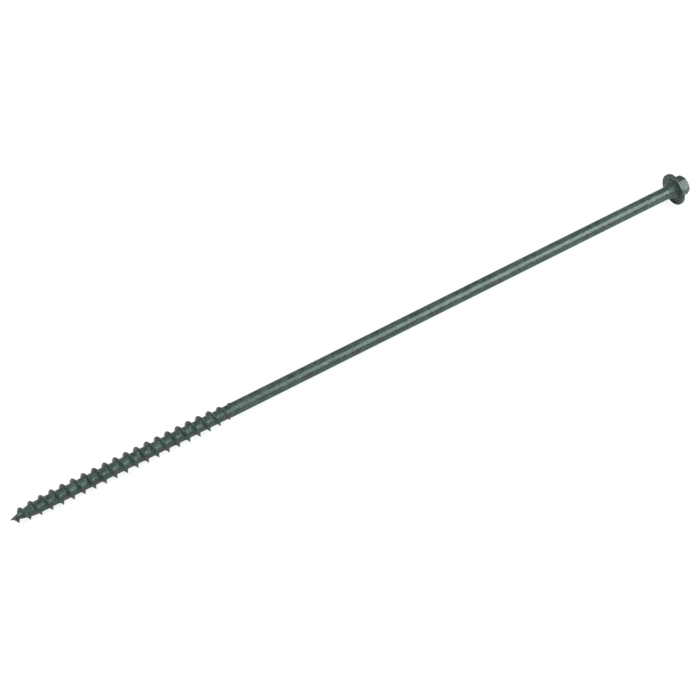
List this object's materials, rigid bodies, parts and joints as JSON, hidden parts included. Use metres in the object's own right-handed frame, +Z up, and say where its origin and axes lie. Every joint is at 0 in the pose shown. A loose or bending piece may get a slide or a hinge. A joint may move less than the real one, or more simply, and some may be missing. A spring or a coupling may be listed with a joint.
{
  "type": "hex timber screw",
  "caption": "Long hex washer-head timber screw with a gimlet point, coarse partial thread, plain shank and conical neck, in a green exterior coating.",
  "frame": {"origin": "middle of the lying screw's box, on the surface it rests on", "axes": "+X from the tip towards the head along the surface, +Z up; the screw's axis rises by 0.61 degrees from the tip to the head"},
  "size_m": [0.3059, 0.0132, 0.0133],
  "materials": {
    "green_coating": "satin"
  },
  "bodies": {
    "root": {"timber_screw": "green_coating"}
  },
  "joints": []
}
